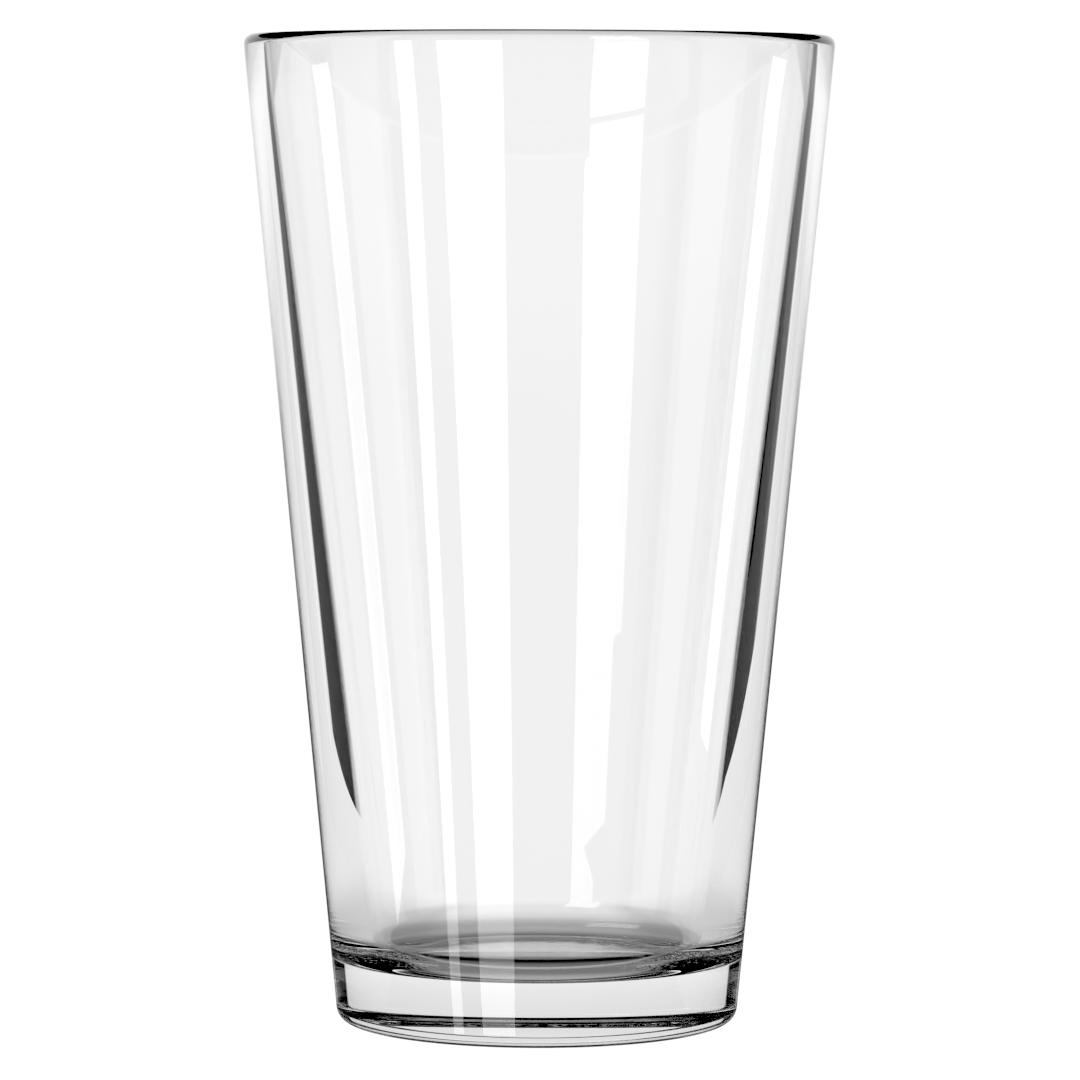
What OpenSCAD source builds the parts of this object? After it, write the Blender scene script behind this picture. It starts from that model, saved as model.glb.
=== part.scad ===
// Mixing glass: a straight-sided conical bar glass with a heavy foot, pressed in one piece.
// Millimetres, +Z up. The origin is the centre of the flat ring it stands on.

/* [Overall] */
// Height from the standing ring to the top of the rim
glass_h = 149.2; // [120:0.1:180]
// Widest diameter, at the rim
rim_d = 88.9; // [72:0.1:108]
// Diameter at the foot, just above the heel round
foot_d = 60.9; // [50:0.1:74]

/* [Rim] */
// Radius of the fire-polished rim; the wall is twice this thick at the top
rim_r = 1.5; // [0.9:0.05:2]

/* [Foot] */
// Radius of the round between the side and the standing ring
heel_r = 2.4; // [1:0.1:5]
// Height of the inner floor above the standing ring
floor_z = 9.3; // [7:0.1:20]
// Width of the flat ring it stands on, from the heel round in to the dome
ring_w = 4.5; // [2:0.1:8]
// Height of the shallow dome pressed up into the underside, at its centre
dome_h = 1.1; // [0.6:0.1:3]

/* [Inside] */
// Thickness of the wall at the bottom of the cup, measured level
wall_t = 6.2; // [4:0.1:9]
// Radius of the round between the inner wall and the floor
corner_r = 6; // [2:0.1:12]

/* [Colour] */
// Colour of the glass
glass_colour = "#E6EFEC";

/* [Hidden] */
$fn = 128;

// Centres of the heel and rim rounds in the cross-section
heel_c = [foot_d / 2 - heel_r, heel_r];
rim_c = [rim_d / 2 - rim_r, glass_h - rim_r];

// Lean of the outer side, touching the heel round and the rim round from outside
outer_run = rim_c - heel_c;
outer_lean = atan2(outer_run.x, outer_run.y) - asin((heel_r - rim_r) / norm(outer_run));
outer_n = [cos(outer_lean), -sin(outer_lean)];
heel_top = heel_c + heel_r * outer_n;

// Centre of the round between floor and wall, set in from the outer side by the wall
corner_z = floor_z + corner_r;
side_at_corner = heel_top.x + (corner_z - heel_top.y) * tan(outer_lean);
corner_c = [side_at_corner - wall_t - corner_r, corner_z];

// Lean of the inner side, passing between the corner round and the rim round
inner_run = rim_c - corner_c;
inner_lean = atan2(inner_run.x, inner_run.y) - asin((corner_r + rim_r) / norm(inner_run));
inner_n = [cos(inner_lean), -sin(inner_lean)];

// The dome, and the radius of the ball that presses it
dome_r = heel_c.x - ring_w;
dome_ball_r = (pow(dome_r, 2) + pow(dome_h, 2)) / (2 * dome_h);

module at(p) {
  translate([p.x, p.y]) children();
}

// Half of the cross-section, on the +X side of the axis
module section() {
  difference() {
    union() {
      polygon([
        [0, 0],
        [heel_c.x, 0],
        heel_top,
        rim_c + rim_r * outer_n,
        rim_c - rim_r * inner_n,
        corner_c + corner_r * inner_n,
        [corner_c.x, floor_z],
        [0, floor_z]
      ]);
      at(heel_c) circle(r = heel_r);
      at(rim_c) circle(r = rim_r);
    }
    at(corner_c) circle(r = corner_r);
    intersection() {
      at([0, dome_h - dome_ball_r]) circle(r = dome_ball_r);
      translate([0, -1]) square([heel_c.x, dome_h + 2]);
    }
  }
}

module mixing_glass() {
  color(glass_colour) rotate_extrude() section();
}

mixing_glass();
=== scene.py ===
import math

import bpy
from mathutils import Matrix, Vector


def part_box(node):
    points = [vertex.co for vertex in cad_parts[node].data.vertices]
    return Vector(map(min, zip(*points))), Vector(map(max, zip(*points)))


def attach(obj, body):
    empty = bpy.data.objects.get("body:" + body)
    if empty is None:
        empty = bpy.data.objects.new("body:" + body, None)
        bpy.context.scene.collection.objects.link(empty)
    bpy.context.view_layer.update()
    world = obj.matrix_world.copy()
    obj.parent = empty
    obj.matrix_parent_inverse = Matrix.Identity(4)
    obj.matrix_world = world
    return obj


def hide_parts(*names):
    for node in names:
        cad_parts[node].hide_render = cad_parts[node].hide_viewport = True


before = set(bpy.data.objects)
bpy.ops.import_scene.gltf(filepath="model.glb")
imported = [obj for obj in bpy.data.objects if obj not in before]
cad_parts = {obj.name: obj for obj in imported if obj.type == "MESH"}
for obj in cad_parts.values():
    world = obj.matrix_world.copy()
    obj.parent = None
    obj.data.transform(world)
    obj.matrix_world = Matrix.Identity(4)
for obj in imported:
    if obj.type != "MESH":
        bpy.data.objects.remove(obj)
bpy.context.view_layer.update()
lowCorner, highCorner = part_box("mixing_glass")
scene = bpy.context.scene


# a socket of a node tree that can be written into sums
class Wire:
    def __init__(self, tree, socket):
        self.tree = tree
        self.socket = socket

    def maths(self, operation, *others):
        return self.tree.node("ShaderNodeMath", {"operation": operation},
                              dict(enumerate((self, *others))))[0]

    def __add__(self, other):
        return self.maths("ADD", other)

    def __radd__(self, other):
        return self.maths("ADD", other)

    def __sub__(self, other):
        return self.maths("SUBTRACT", other)

    def __rsub__(self, other):
        return self.tree.number(other).maths("SUBTRACT", self)

    def __mul__(self, other):
        return self.maths("MULTIPLY", other)

    def __rmul__(self, other):
        return self.maths("MULTIPLY", other)

    def __truediv__(self, other):
        return self.maths("DIVIDE", other)

    def __rtruediv__(self, other):
        return self.tree.number(other).maths("DIVIDE", self)

    def __mod__(self, other):
        return self.maths("MODULO", other)

    def __neg__(self):
        return self.maths("MULTIPLY", -1.0)

    def __abs__(self):
        return self.maths("ABSOLUTE")

    def fade(self, start, end):  # 0 below start, 1 above end, and smooth between
        return self.tree.node("ShaderNodeMapRange", {"interpolation_type": "SMOOTHSTEP"},
                              {"Value": self, "From Min": start, "From Max": end})[0]


# the outputs of a node, by number or by name
class Outputs(list):
    def __getitem__(self, key):
        if isinstance(key, int):
            return super().__getitem__(key)
        return next(wire for wire in self if wire.socket.name == key)


class NodeTree:
    def __init__(self, tree):
        self.tree = tree
        self.made = 0

    def node(self, kind, settings=None, inputs=None):
        columns, across, down = 12, 220, 260
        made = self.tree.nodes.new(kind)
        made.location = (across * (self.made % columns), -down * (self.made // columns))
        self.made += 1
        for name, value in (settings or {}).items():
            setattr(made, name, value)
        for name, value in (inputs or {}).items():
            self.feed(made.inputs[name], value)
        return Outputs(Wire(self, socket) for socket in made.outputs if socket.enabled)

    def feed(self, socket, value):
        if isinstance(value, Wire):
            self.tree.links.new(value.socket, socket)
        else:
            socket.default_value = value

    def number(self, value):
        return self.node("ShaderNodeMath", {"operation": "ADD"}, {0: value, 1: 0.0})[0]

    def parts(self, vector):
        return self.node("ShaderNodeSeparateXYZ", None, {0: vector})


def fromAxis(x, y):
    return (x * x + y * y).maths("SQRT")


# the camera stands a little below the level of the rim and looks slightly down
cameraSet = {"lens": 190.71, "sensor": 36.0, "distance": 0.86367, "height": 0.132743,
             "lookDown": 0.069, "turn": 0.000335, "roll": 0.17}
cameraData = bpy.data.cameras.new("camera")
cameraData.lens = cameraSet["lens"]
cameraData.sensor_width = cameraSet["sensor"]
camera = bpy.data.objects.new("camera", cameraData)
scene.collection.objects.link(camera)
camera.matrix_world = (
    Matrix.Translation((0, -cameraSet["distance"], cameraSet["height"]))
    @ Matrix.Rotation(-cameraSet["turn"], 4, "Z")
    @ Matrix.Rotation(math.pi / 2 - cameraSet["lookDown"], 4, "X")
    @ Matrix.Rotation(math.radians(cameraSet["roll"]), 4, "Z"))
scene.camera = camera
print("camera placed")


# the glass: sizes in metres, as in the part
glassSize = {"footRadius": 0.03045, "rimRound": 0.0015, "heelRound": 0.0024,
             "floorHeight": 0.0093, "cornerRound": 0.006, "wallAtCorner": 0.0062,
             "ringWidth": 0.0045, "domeHeight": 0.0011}
# how finely its section and its turn are made
glassSteps = {"turn": 560, "dome": 20, "ring": 14, "heel": 26, "side": 16, "rim": 30,
              "corner": 24, "floor": 12}
# the stipple under the foot: how deep and how coarse, how softly it starts and ends across the
# ring and up the heel, and which of its grains stand out
stipple = {"depth": 0.00028, "size": 0.0011, "seed": 7, "innerEdge": (-0.0004, 0.0002),
           "outerEdge": (-0.0002, 0.0006), "top": (0.0003, 0.0012), "grains": (0.42, 0.62),
           "detail": 2.0, "grainRoughness": 0.6}
# the faint ripple of the sides: it starts above the foot and ends below the rim
ripple = {"depth": 0.000004, "size": 0.02, "seed": 18, "start": (0.004, 0.008),
          "end": (0.13, 0.145), "detail": 1.0, "middle": 0.5}


def arc(centre, radius, fromAngle, toAngle, steps):
    spread = (toAngle - fromAngle) / steps
    return [(centre[0] + radius * math.cos(fromAngle + spread * i),
             centre[1] + radius * math.sin(fromAngle + spread * i)) for i in range(steps + 1)]


def straight(start, end, steps):  # the points between two ends, without the ends
    return [tuple(a + (b - a) * i / steps for a, b in zip(start, end)) for i in range(1, steps)]


def lean(start, end, offset):
    run = (end[0] - start[0], end[1] - start[1])
    return math.atan2(*run) - math.asin(offset / math.hypot(*run))


# half of the cross-section, from the dome up the outside, over the rim and down to the floor
def glassSection(size, steps, height, rimRadius):
    heel = (size["footRadius"] - size["heelRound"], size["heelRound"])
    rim = (rimRadius - size["rimRound"], height - size["rimRound"])
    outer = lean(heel, rim, size["heelRound"] - size["rimRound"])
    cornerHeight = size["floorHeight"] + size["cornerRound"]
    sideFoot = (heel[0] + size["heelRound"] * math.cos(outer),
                heel[1] - size["heelRound"] * math.sin(outer))
    side = sideFoot[0] + (cornerHeight - sideFoot[1]) * math.tan(outer)
    corner = (side - size["wallAtCorner"] - size["cornerRound"], cornerHeight)
    inner = lean(corner, rim, size["cornerRound"] + size["rimRound"])
    domeRadius = heel[0] - size["ringWidth"]
    ball = (domeRadius ** 2 + size["domeHeight"] ** 2) / (2 * size["domeHeight"])
    domeAngle = math.asin(domeRadius / ball)
    down = -math.pi / 2
    dome = arc((0, size["domeHeight"] - ball), ball, math.pi / 2, math.pi / 2 - domeAngle,
               steps["dome"])
    dome[0] = (0.0, dome[0][1])
    dome[-1] = (domeRadius, 0.0)
    heelArc = arc(heel, size["heelRound"], down, -outer, steps["heel"])
    rimArc = arc(rim, size["rimRound"], -outer, math.pi - inner, steps["rim"])
    cornerArc = arc(corner, size["cornerRound"], -inner, down, steps["corner"])
    floor = (0.0, size["floorHeight"])
    return (dome + straight(dome[-1], heelArc[0], steps["ring"]) + heelArc
            + straight(heelArc[-1], rimArc[0], steps["side"]) + rimArc
            + straight(rimArc[-1], cornerArc[0], steps["side"]) + cornerArc
            + straight(cornerArc[-1], floor, steps["floor"]) + [floor])


# turns the section round the axis, then adds the stipple under the foot and a faint ripple
def revolveTree():
    group = bpy.data.node_groups.new("revolvedGlass", "GeometryNodeTree")
    group.interface.new_socket("Geometry", in_out="OUTPUT", socket_type="NodeSocketGeometry")
    for name, kind in (("Geometry", "Geometry"), ("Segments", "Int"), ("Stipple depth", "Float"),
                       ("Stipple size", "Float"), ("Ripple depth", "Float"),
                       ("Ripple size", "Float"), ("Stipple inner", "Float"),
                       ("Stipple outer", "Float"), ("Stipple seed", "Int"),
                       ("Ripple seed", "Int"), ("Finish", "Material")):
        group.interface.new_socket(name, in_out="INPUT", socket_type="NodeSocket" + kind)
    tree = NodeTree(group)
    given = tree.node("NodeGroupInput")
    count = tree.node("GeometryNodeAttributeDomainSize", {"component": "MESH"},
                      {"Geometry": given["Geometry"]})[0]
    grid = tree.node("GeometryNodeMeshGrid", None,
                     {"Vertices X": given["Segments"] + 1, "Vertices Y": count})["Mesh"]
    index = tree.node("GeometryNodeInputIndex")[0]
    row = index % count
    turn = (index - row) / count
    place = tree.node("GeometryNodeInputPosition")[0]
    point = tree.node("GeometryNodeSampleIndex", {"data_type": "FLOAT_VECTOR"},
                      {"Geometry": given["Geometry"], "Value": place, "Index": row})[0]
    radius, _, height = tree.parts(point)
    angle = turn / given["Segments"] * (2 * math.pi)
    spun = tree.node("ShaderNodeCombineXYZ", None, {
        0: radius * angle.maths("COSINE"), 1: radius * angle.maths("SINE"), 2: height})[0]
    turned = tree.node("GeometryNodeSetPosition", None, {"Geometry": grid, "Position": spun})[0]
    seamGap = 1e-7
    joined = tree.node("GeometryNodeMergeByDistance", None,
                       {"Geometry": turned, "Distance": seamGap})[0]

    x, y, z = tree.parts(place)
    reach = fromAxis(x, y)
    innerStart, innerEnd = (given["Stipple inner"] + shift for shift in stipple["innerEdge"])
    outerStart, outerEnd = (given["Stipple outer"] + shift for shift in stipple["outerEdge"])
    ring = (reach.fade(innerStart, innerEnd) * (1 - reach.fade(outerStart, outerEnd))
            * (1 - z.fade(*stipple["top"])))
    grain = tree.node("ShaderNodeTexNoise", {"noise_dimensions": "4D"}, {
        "Vector": place, "W": given["Stipple seed"], "Scale": 1 / given["Stipple size"],
        "Detail": stipple["detail"], "Roughness": stipple["grainRoughness"]})[0]
    lift = grain.fade(*stipple["grains"]) * ring * given["Stipple depth"]
    stippled = tree.node("GeometryNodeSetPosition", None, {
        "Geometry": joined,
        "Offset": tree.node("ShaderNodeCombineXYZ", None, {2: lift})[0]})[0]

    wave = tree.node("ShaderNodeTexNoise", {"noise_dimensions": "4D"}, {
        "Vector": place, "W": given["Ripple seed"], "Scale": 1 / given["Ripple size"],
        "Detail": ripple["detail"]})[0]
    sides = (1 - z.fade(*ripple["end"])) * z.fade(*ripple["start"])
    normal = tree.node("GeometryNodeInputNormal")[0]
    push = tree.node("ShaderNodeVectorMath", {"operation": "SCALE"}, {
        0: normal, "Scale": (wave - ripple["middle"]) * sides * given["Ripple depth"]})[0]
    rippled = tree.node("GeometryNodeSetPosition", None,
                        {"Geometry": stippled, "Offset": push})[0]
    smooth = tree.node("GeometryNodeSetShadeSmooth", None, {"Geometry": rippled})[0]
    real = tree.node("GeometryNodeRealizeInstances", None, {"Geometry": smooth})[0]
    finished = tree.node("GeometryNodeSetMaterial", None,
                         {"Geometry": real, "Material": given["Finish"]})[0]
    tree.node("NodeGroupOutput", None, {0: finished})
    return group


# runs a tree on a mesh and gives the result as a plain object at the origin
def grow(name, mesh, group, values):
    seedObject = bpy.data.objects.new(name + "Base", mesh)
    scene.collection.objects.link(seedObject)
    modifier = seedObject.modifiers.new("grow", "NODES")
    modifier.node_group = group
    for item in group.interface.items_tree:
        if item.item_type == "SOCKET" and item.in_out == "INPUT" and item.name in values:
            modifier[item.identifier] = values[item.name]
    seen = seedObject.evaluated_get(bpy.context.evaluated_depsgraph_get())
    plain = bpy.data.meshes.new_from_object(seen)
    seedObject.modifiers.remove(modifier)
    bpy.data.objects.remove(seedObject)
    plain.name = name
    made = bpy.data.objects.new(name, plain)
    scene.collection.objects.link(made)
    return made


clearGlass = {"colour": (0.992, 0.994, 0.993, 1.0), "footColour": (0.80, 0.806, 0.803, 1.0),
              "footFade": (0.004, 0.012), "ior": 1.52, "rippleBump": 0.000002,
              "rippleScale": 60.0, "rippleDetail": 1.0, "stippleRough": 0.05,
              "stippleEdge": (0.0232, 0.0238), "stippleTop": (0.0002, 0.0006)}


# clear fire-polished glass, faintly rippled, with a frosted bloom on the stippled ring
def glassFinish(look):
    material = bpy.data.materials.new("clearGlass")
    material.use_nodes = True
    tree = NodeTree(material.node_tree)
    material.node_tree.nodes.clear()
    place = tree.node("ShaderNodeTexCoord")["Object"]
    x, y, z = tree.parts(place)
    height = z - lowCorner.z
    ring = (1 - height.fade(*look["stippleTop"])) * fromAxis(x, y).fade(*look["stippleEdge"])
    wave = tree.node("ShaderNodeTexNoise", None, {
        "Vector": place, "Scale": look["rippleScale"], "Detail": look["rippleDetail"]})[0]
    bump = tree.node("ShaderNodeBump", None, {"Strength": 1.0, "Distance": look["rippleBump"],
                                              "Height": wave})[0]
    # the thick foot is tinted a little darker than the sides; 6 and 7 are the mix's two colours
    colour = tree.node("ShaderNodeMix", {"data_type": "RGBA"}, {
        "Factor": height.fade(*look["footFade"]), 6: look["footColour"],
        7: look["colour"]})["Result"]
    shader = tree.node("ShaderNodeBsdfPrincipled", None, {
        "Base Color": colour, "IOR": look["ior"], "Transmission Weight": 1.0,
        "Roughness": ring * look["stippleRough"], "Normal": bump})[0]
    tree.node("ShaderNodeOutputMaterial", None, {"Surface": shader})
    return material


section = glassSection(glassSize, glassSteps, highCorner.z, highCorner.x)
sectionMesh = bpy.data.meshes.new("glassSection")
sectionMesh.from_pydata([(r, 0.0, z) for r, z in section],
                        [(i, i + 1) for i in range(len(section) - 1)], [])
ringOuter = glassSize["footRadius"] - glassSize["heelRound"]
mixingGlass = grow("mixingGlass", sectionMesh, revolveTree(), {
    "Segments": glassSteps["turn"], "Stipple depth": stipple["depth"],
    "Stipple size": stipple["size"], "Ripple depth": ripple["depth"],
    "Ripple size": ripple["size"], "Stipple inner": ringOuter - glassSize["ringWidth"],
    "Stipple outer": ringOuter, "Stipple seed": stipple["seed"],
    "Ripple seed": ripple["seed"], "Finish": glassFinish(clearGlass)})
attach(mixingGlass, "root")
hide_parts("mixing_glass")
print("glass made:", len(mixingGlass.data.polygons), "faces")


def glowing(name, lightOf):  # lightOf gives the strength, a number or a wire, from the tree
    material = bpy.data.materials.new(name)
    material.use_nodes = True
    tree = NodeTree(material.node_tree)
    material.node_tree.nodes.clear()
    shader = tree.node("ShaderNodeEmission", None, {"Strength": lightOf(tree)})[0]
    tree.node("ShaderNodeOutputMaterial", None, {"Surface": shader})
    return material


def stagePiece(name, corners, material, seenBy):
    mesh = bpy.data.meshes.new(name)
    mesh.from_pydata(corners, [], [tuple(range(len(corners)))])
    mesh.materials.append(material)
    piece = bpy.data.objects.new(name, mesh)
    scene.collection.objects.link(piece)
    for ray in ("camera", "diffuse", "glossy", "transmission", "shadow"):
        setattr(piece, "visible_" + ray, ray == seenBy)


# the pale floor that the camera sees
floorLook = {"radius": 6.0, "corners": 96, "height": -0.0006, "light": 1.02}
floorTurns = [2 * math.pi * k / floorLook["corners"] for k in range(floorLook["corners"])]
floorCorners = [(floorLook["radius"] * math.cos(turn), floorLook["radius"] * math.sin(turn),
                 floorLook["height"]) for turn in floorTurns]
stagePiece("paleFloor", floorCorners, glowing("paleFloor", lambda tree: floorLook["light"]), "camera")

# painted sheen: how bright a pale, slightly glossy surface is painted to look, more at a grazing
# glance than from above, where glance is 1 along the surface and 0 straight down on it; each step is
# start, end and gain; farLift and farFrom paint more light well away from the glass, which leaves a
# painted shade nearer it
paintedSheenAndShade = {"straightDown": 0.18, "farLift": (0.45, 0.62, 0.22), "farFrom": (0.05, 0.12),
               "steps": [(0.13, 0.33, 0.28), (0.45, 0.72, 0.43), (0.72, 0.86, 0.08)]}


# paints the sheen of a pale surface from its glance alone
def paintedSheenAt(glance):
    light = paintedSheenAndShade["straightDown"]
    for start, end, gain in paintedSheenAndShade["steps"]:
        light = glance.fade(start, end) * gain + light
    return light


# painted light: what it has more of well away from the glass, where nothing shades it from above, so
# that nearer the glass it keeps a painted shade
def farLift(glance):
    start, end, gain = paintedSheenAndShade["farLift"]
    return (1 - glance.fade(start, end)) * gain


# the glowing table as the glass gathers it, in metres, with painted light and shade: a painted shadow
# under the foot but for the painted light that leaks in at the front and what is seen steeply from
# above, a painted caustic that leaves its sides dimmer close behind the glass, and with slanting
# sides
tableLook = {"behind": [(0.118, 0.03), (0.150, 0.09), (0.185, 0.204), (0.31, 0.60),
                        (-0.26, 0.60), (-0.160, 0.183), (-0.144, 0.114), (-0.126, 0.03)],
             "front": [(-0.126, -0.25), (0.118, -0.25)],
             "middle": [(-0.126, -0.01), (0.118, -0.01)], "height": -0.0004,
             "shadowEdge": (0.029, 0.036), "underGlass": 0.02,
             "steep": {"glance": (0.26, 0.40), "light": 0.22},
             "inner": {"edge": (0.018, 0.024), "glance": (0.50, 0.60), "light": 0.22},
             "leak": {"from": (0.011, 0.018), "light": 0.5}, "mirrored": 0.12,
             "focus": {"edge": (0.014, 0.024), "end": (0.075, 0.12), "dimmer": 0.25}}


def paintedTableLight(tree):
    x, y, _ = tree.parts(tree.node("ShaderNodeTexCoord")["Object"])
    reach = fromAxis(x, y)
    glance = tree.node("ShaderNodeLayerWeight", None, {"Blend": 0.5})["Facing"]
    steep, inner, leak, focus = (tableLook[key] for key in ("steep", "inner", "leak", "focus"))
    shallow = glance.fade(*steep["glance"])
    leaking = (-y).fade(*leak["from"]) * shallow * leak["light"]
    underDome = (1 - reach.fade(*inner["edge"])) * (1 - glance.fade(*inner["glance"]))
    under = (leaking + (1 - shallow) * steep["light"] + underDome * inner["light"]
             + tableLook["underGlass"])
    # painted caustic: close by, the glass leaves most light in line with its middle, and the sides
    # nearby get painted shade
    side = abs(x).fade(*focus["edge"]) * (1 - reach.fade(*focus["end"]))
    clear = farLift(glance) * reach.fade(*paintedSheenAndShade["farFrom"])
    lit = (paintedSheenAt(glance) + clear) * (1 - side * focus["dimmer"])
    outside = reach.fade(*tableLook["shadowEdge"])
    return under * (1 - outside) + lit * outside


def mirroredTableLight(tree):
    return paintedTableLight(tree) * tableLook["mirrored"]


# two glowing planes stand in for the table: one holds its painted light and shade and is seen through
# the glass, the other is a dimmer painted reflection of it, seen in the glass's surfaces
for name, near, seenBy, lightOf in (
        ("litTable", "front", "transmission", paintedTableLight),
        ("litTableMirrored", "middle", "glossy", mirroredTableLight)):
    stagePiece(name, [(x, y, tableLook["height"]) for x, y in tableLook[near] + tableLook["behind"]],
               glowing(name, lightOf), seenBy)

# upright strip lights round the glass: each corner is a direction in degrees round from the camera
# and a height in metres, all at one distance; the glossy ones shine on the surfaces that the camera
# sees directly, and the other is seen in the glass's back wall, through its front
stripDistance = 0.8
stripLights = {
    "windowLight": {"corners": [(-12.0, -0.34), (-29.6, -0.34), (-40.0, 0.10), (-14.0, 0.10)],
                    "light": 3.8, "seenBy": "glossy"},
    "narrowLight": {"corners": [(-41.2, -0.34), (-47.0, -0.34), (-57.0, 0.10), (-49.4, 0.10)],
                    "light": 3.8, "seenBy": "glossy"},
    "sideLight": {"corners": [(88.5, -0.14), (95.1, -0.14), (109.3, 0.092), (100.4, 0.087)],
                  "light": 3.0, "seenBy": "glossy"},
    "farSideLight": {"corners": [(-81.9, -0.205), (-73.2, -0.19), (-88.0, 0.072), (-97.2, 0.077)],
                     "light": 3.0, "seenBy": "glossy"},
    "backWindow": {"corners": [(-25.4, 0.089), (-49.0, 0.089), (-46.4, 0.36), (-20.6, 0.36)],
                   "light": 3.8, "seenBy": "transmission"}}


def roundFromCamera(degrees, height):
    angle = math.radians(degrees)
    return (stripDistance * math.sin(angle), -stripDistance * math.cos(angle), height)


for name, strip in stripLights.items():
    stagePiece(name, [roundFromCamera(*corner) for corner in strip["corners"]],
               glowing(name, lambda tree: strip["light"]), strip["seenBy"])
print("stage and lights placed")

# the room: white to the camera, a light ground and backdrops with dark gaps where the glass bends
# its edges to, a dark ceiling with one soft light, and dimmer where it is only mirrored;
# directions are round from the back and up, in degrees, and the gaps widen downwards on their far
# sides
room = {"toCamera": 1.02, "pale": 1.0, "mirrored": 0.14, "mirroredGround": 0.35, "overhead": 0.4,
        "gaps": [(-41.8, -35.5), (32.5, 42.2)], "gapLean": 1.75, "gapLevel": 6.0, "gapSoft": 0.7,
        "mirroredGaps": [(-70.0, -35.5), (32.5, 70.0)],
        "gapFoot": (-19.0, -16.5), "horizon": (-4.5, -2.5),
        "backdrops": [(-61.0, 61.0), (-106.0, -79.0), (79.0, 106.0)], "backdropTop": (15.8, 17.2),
        "behindCamera": {"from": 118.0, "light": 0.5},
        "overheadFrom": (60.0, 66.0), "mirroredView": (-50.0, 50.0), "soft": 1.0}


def past(angle, edge, soft=room["soft"]):  # 0 before the edge and 1 past it
    return angle.fade(edge - soft, edge + soft)


def window(angle, left, right):
    return past(angle, left) * (1 - past(angle, right))


world = bpy.data.worlds.new("room")
scene.world = world
world.use_nodes = True
world.node_tree.nodes.clear()
tree = NodeTree(world.node_tree)
x, y, z = tree.parts(tree.node("ShaderNodeTexCoord")["Generated"])
inDegrees = 180 / math.pi
roundBack = x.maths("ARCTAN2", y) * inDegrees
upward = z.maths("ARCSINE") * inDegrees
aboveHorizon = upward.fade(*room["horizon"])
leaning = (upward + room["gapLevel"]) * room["gapLean"]
(leftFar, leftNear), (rightNear, rightFar) = room["gaps"]
leftGap = past(roundBack - leaning, leftFar, room["gapSoft"]) * (1 - past(roundBack, leftNear))
rightGap = past(roundBack, rightNear) * (1 - past(roundBack + leaning, rightFar, room["gapSoft"]))
gaps = (leftGap + rightGap) * upward.fade(*room["gapFoot"])
glance = z + 1
ground = (1 - aboveHorizon) * (1 - gaps) * (paintedSheenAt(glance) + farLift(glance))
backdrops = sum(window(roundBack, *backdrop) for backdrop in room["backdrops"])
behind = room["behindCamera"]
behindCamera = (1 - window(roundBack, -behind["from"], behind["from"])) * behind["light"]
wall = aboveHorizon * (1 - upward.fade(*room["backdropTop"])) * (backdrops + behindCamera)
above = upward.fade(*room["overheadFrom"]) * room["overhead"]
through = (ground + wall) * room["pale"] + above
mirroredGaps = sum(window(roundBack, *gap) for gap in room["mirroredGaps"])
ahead = window(roundBack, *room["mirroredView"])
mirrored = (ahead * (ground * room["mirroredGround"] + wall + above)
            + (1 - ahead) * (1 - mirroredGaps) * room["mirrored"])
path = tree.node("ShaderNodeLightPath")
bent = path["Is Transmission Ray"]
seen = (path["Is Camera Ray"] * room["toCamera"] + bent * through
        + (1 - bent) * path["Is Glossy Ray"] * mirrored)
glow = tree.node("ShaderNodeBackground", None, {"Color": (1, 1, 1, 1), "Strength": seen})[0]
tree.node("ShaderNodeOutputWorld", None, {"Surface": glow})

# a plain picture with firm blacks, and enough bounces for light that runs round inside the glass
scene.view_settings.view_transform = "Standard"
scene.view_settings.use_curve_mapping = True
blackLevel = 0.035
scene.view_settings.curve_mapping.black_level = (blackLevel, blackLevel, blackLevel)
scene.view_settings.curve_mapping.update()
scene.cycles.use_denoising = True
scene.cycles.max_bounces = 24
scene.cycles.transmission_bounces = 24
scene.cycles.glossy_bounces = 16
print("room lit")
